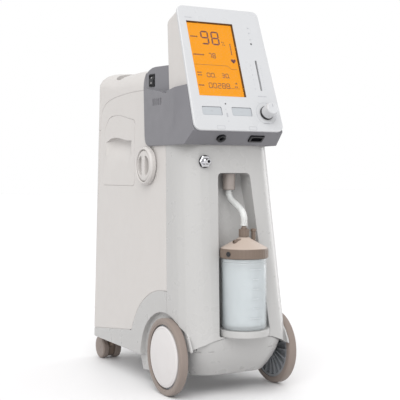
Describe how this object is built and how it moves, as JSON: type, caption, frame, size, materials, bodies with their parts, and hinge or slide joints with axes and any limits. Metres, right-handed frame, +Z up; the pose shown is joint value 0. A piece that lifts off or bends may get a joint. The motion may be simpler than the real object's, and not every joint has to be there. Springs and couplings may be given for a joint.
{
  "type": "oxygen concentrator",
  "caption": "Wheeled upright oxygen concentrator: tapered cabinet with a tilted display console on a grey saddle housing and a humidifier bottle in a front niche.",
  "frame": {"origin": "on the floor, under the middle of the whole machine's box", "axes": "+Z up, -Y towards the front face with the console and the humidifier, +X to the right of someone facing the front"},
  "size_m": [0.2024, 0.4186, 0.5755],
  "materials": {
    "shell_ivory": "satin moulded ABS, warm ivory",
    "shell_white": "satin moulded ABS, cool light grey-white",
    "console_white": "fine satin moulded ABS, cool white",
    "housing_grey": "fine textured mid-grey ABS",
    "taupe_plastic": "satin moulded taupe polypropylene",
    "tyre_rubber": "soft taupe thermoplastic rubber",
    "hub_grey": "ribbed grey nylon",
    "cap_white": "smooth off-white ABS",
    "black_plastic": "black moulded plastic",
    "hose_rubber": "black rubber hose",
    "clear_plastic": "clear acrylic",
    "bottle_clear": "slightly frosted clear polycarbonate",
    "tube_clear": "clear flexible PVC",
    "water_blue": "water with a faint blue tint",
    "lcd_orange": "back-lit orange display",
    "filter_foam": "open-cell filter foam",
    "board_green": "printed circuit board",
    "chrome": "polished chrome plate",
    "steel": "zinc-plated steel",
    "aluminium": "cast and drawn aluminium",
    "tank_white": "moulded white tank"
  },
  "bodies": {
    "cabinet": {"console_shell": "shell_ivory", "left_side_panel": "shell_ivory", "right_side_panel": "shell_ivory", "intake_ring": "shell_ivory", "rear_hood": "shell_ivory", "rear_cover": "shell_ivory", "exhaust_grille": "shell_ivory", "front_panel": "shell_white", "front_skirt": "shell_white", "base_chassis": "shell_white", "bottle_holder": "shell_white", "console_bezel": "console_white", "control_housing": "housing_grey", "niche_socket": "housing_grey", "power_inlet": "black_plastic", "sensor_socket": "black_plastic", "data_port": "black_plastic", "switch_frame": "black_plastic", "fan_frame": "black_plastic", "feed_hose": "hose_rubber", "lcd_glass": "clear_plastic", "flowmeter_tube": "clear_plastic", "lcd_module": "lcd_orange", "filter_foam": "filter_foam", "control_board": "board_green", "outlet_nut": "chrome", "outlet_barb": "chrome", "front_axle": "steel", "compressor_cradle": "steel", "flow_valve": "aluminium", "compressor": "aluminium", "sieve_bed_left": "aluminium", "sieve_bed_right": "aluminium", "valve_manifold": "aluminium", "product_tank": "tank_white"},
    "wheel_left": {"tyre_left": "tyre_rubber", "wheel_hub_left": "hub_grey", "hub_cap_left": "cap_white"},
    "wheel_right": {"tyre_right": "tyre_rubber", "wheel_hub_right": "hub_grey", "hub_cap_right": "cap_white"},
    "caster_left": {"caster_yoke_left": "taupe_plastic"},
    "caster_right": {"caster_yoke_right": "taupe_plastic"},
    "caster_roll_left": {"caster_wheels_left": "tyre_rubber"},
    "caster_roll_right": {"caster_wheels_right": "tyre_rubber"},
    "knob": {"flow_knob": "console_white"},
    "float": {"flow_float": "black_plastic"},
    "button_left": {"left_button": "console_white"},
    "button_right": {"right_button": "console_white"},
    "rocker": {"power_rocker": "black_plastic"},
    "intake_cap": {"intake_cap": "shell_ivory"},
    "filter_door": {"filter_door": "shell_ivory"},
    "humidifier": {"humidifier_lid": "taupe_plastic", "inlet_nozzle": "taupe_plastic", "bubbler_tube": "shell_white", "humidifier_tube": "tube_clear"},
    "bottle": {"humidifier_bottle": "bottle_clear", "water": "water_blue"},
    "collar": {"collar_nut": "taupe_plastic"},
    "fan": {"fan_rotor": "black_plastic"}
  },
  "joints": [
    {"name": "front_wheel_left_spin", "type": "hinge", "parent": "cabinet", "child": "wheel_left", "pos_m": [-0.092, -0.1137, 0.0567], "axis": [1, 0, 0], "continuous": true},
    {"name": "front_wheel_right_spin", "type": "hinge", "parent": "cabinet", "child": "wheel_right", "pos_m": [0.092, -0.1137, 0.0567], "axis": [1, 0, 0], "continuous": true},
    {"name": "caster_left_swivel", "type": "hinge", "parent": "cabinet", "child": "caster_left", "pos_m": [-0.058, 0.1673, 0.05], "axis": [0, 0, 1], "continuous": true},
    {"name": "caster_left_roll", "type": "hinge", "parent": "caster_left", "child": "caster_roll_left", "pos_m": [-0.058, 0.1893, 0.02], "axis": [1, 0, 0], "continuous": true},
    {"name": "caster_right_swivel", "type": "hinge", "parent": "cabinet", "child": "caster_right", "pos_m": [0.058, 0.1673, 0.05], "axis": [0, 0, 1], "continuous": true},
    {"name": "caster_right_roll", "type": "hinge", "parent": "caster_right", "child": "caster_roll_right", "pos_m": [0.058, 0.1893, 0.02], "axis": [1, 0, 0], "continuous": true},
    {"name": "flow_knob_turn", "type": "hinge", "parent": "cabinet", "child": "knob", "pos_m": [0.0495, -0.15977, 0.41471], "axis": [0, -0.9373, 0.3486], "range_deg": [0, 300]},
    {"name": "flow_float_rise", "type": "slide", "parent": "cabinet", "child": "float", "axis": [0, 0.3486, 0.9373], "range_m": [0, 0.0455]},
    {"name": "left_button_press", "type": "slide", "parent": "cabinet", "child": "button_left", "axis": [0, 0.9373, -0.3486], "range_m": [0, 0.0012], "stiffness_N_per_m": 400, "springref_m": -0.0006},
    {"name": "right_button_press", "type": "slide", "parent": "cabinet", "child": "button_right", "axis": [0, 0.9373, -0.3486], "range_m": [0, 0.0012], "stiffness_N_per_m": 400, "springref_m": -0.0006},
    {"name": "power_rocker_tip", "type": "hinge", "parent": "cabinet", "child": "rocker", "pos_m": [-0.07934, -0.0362, 0.4682], "axis": [0.2284, -0.9736, 0], "range_deg": [0, 16]},
    {"name": "intake_cap_turn", "type": "hinge", "parent": "cabinet", "child": "intake_cap", "pos_m": [-0.081, -0.0277, 0.3375], "axis": [-1, 0, 0], "range_deg": [0, 45]},
    {"name": "filter_door_open", "type": "hinge", "parent": "cabinet", "child": "filter_door", "pos_m": [-0.0823, 0.0888, 0.3055], "axis": [0, -1, 0], "range_deg": [0, 60]},
    {"name": "humidifier_pull", "type": "slide", "parent": "cabinet", "child": "humidifier", "axis": [0, -1, 0], "range_m": [0, 0.08]},
    {"name": "bottle_unscrew", "type": "hinge", "parent": "humidifier", "child": "bottle", "pos_m": [0.004, -0.1717, 0.2], "axis": [0, 0, 1], "range_deg": [0, 360]},
    {"name": "collar_nut_turn", "type": "hinge", "parent": "humidifier", "child": "collar", "pos_m": [0.004, -0.1717, 0.239], "axis": [0, 0, 1], "range_deg": [0, 360]},
    {"name": "fan_spin", "type": "hinge", "parent": "cabinet", "child": "fan", "pos_m": [-0.014, 0.0043, 0.19], "axis": [0, 0, 1], "continuous": true}
  ],
  "couplings": [
    {"joint": "flow_float_rise", "follows": "flow_knob_turn", "m_per_rad": 0.00859}
  ]
}
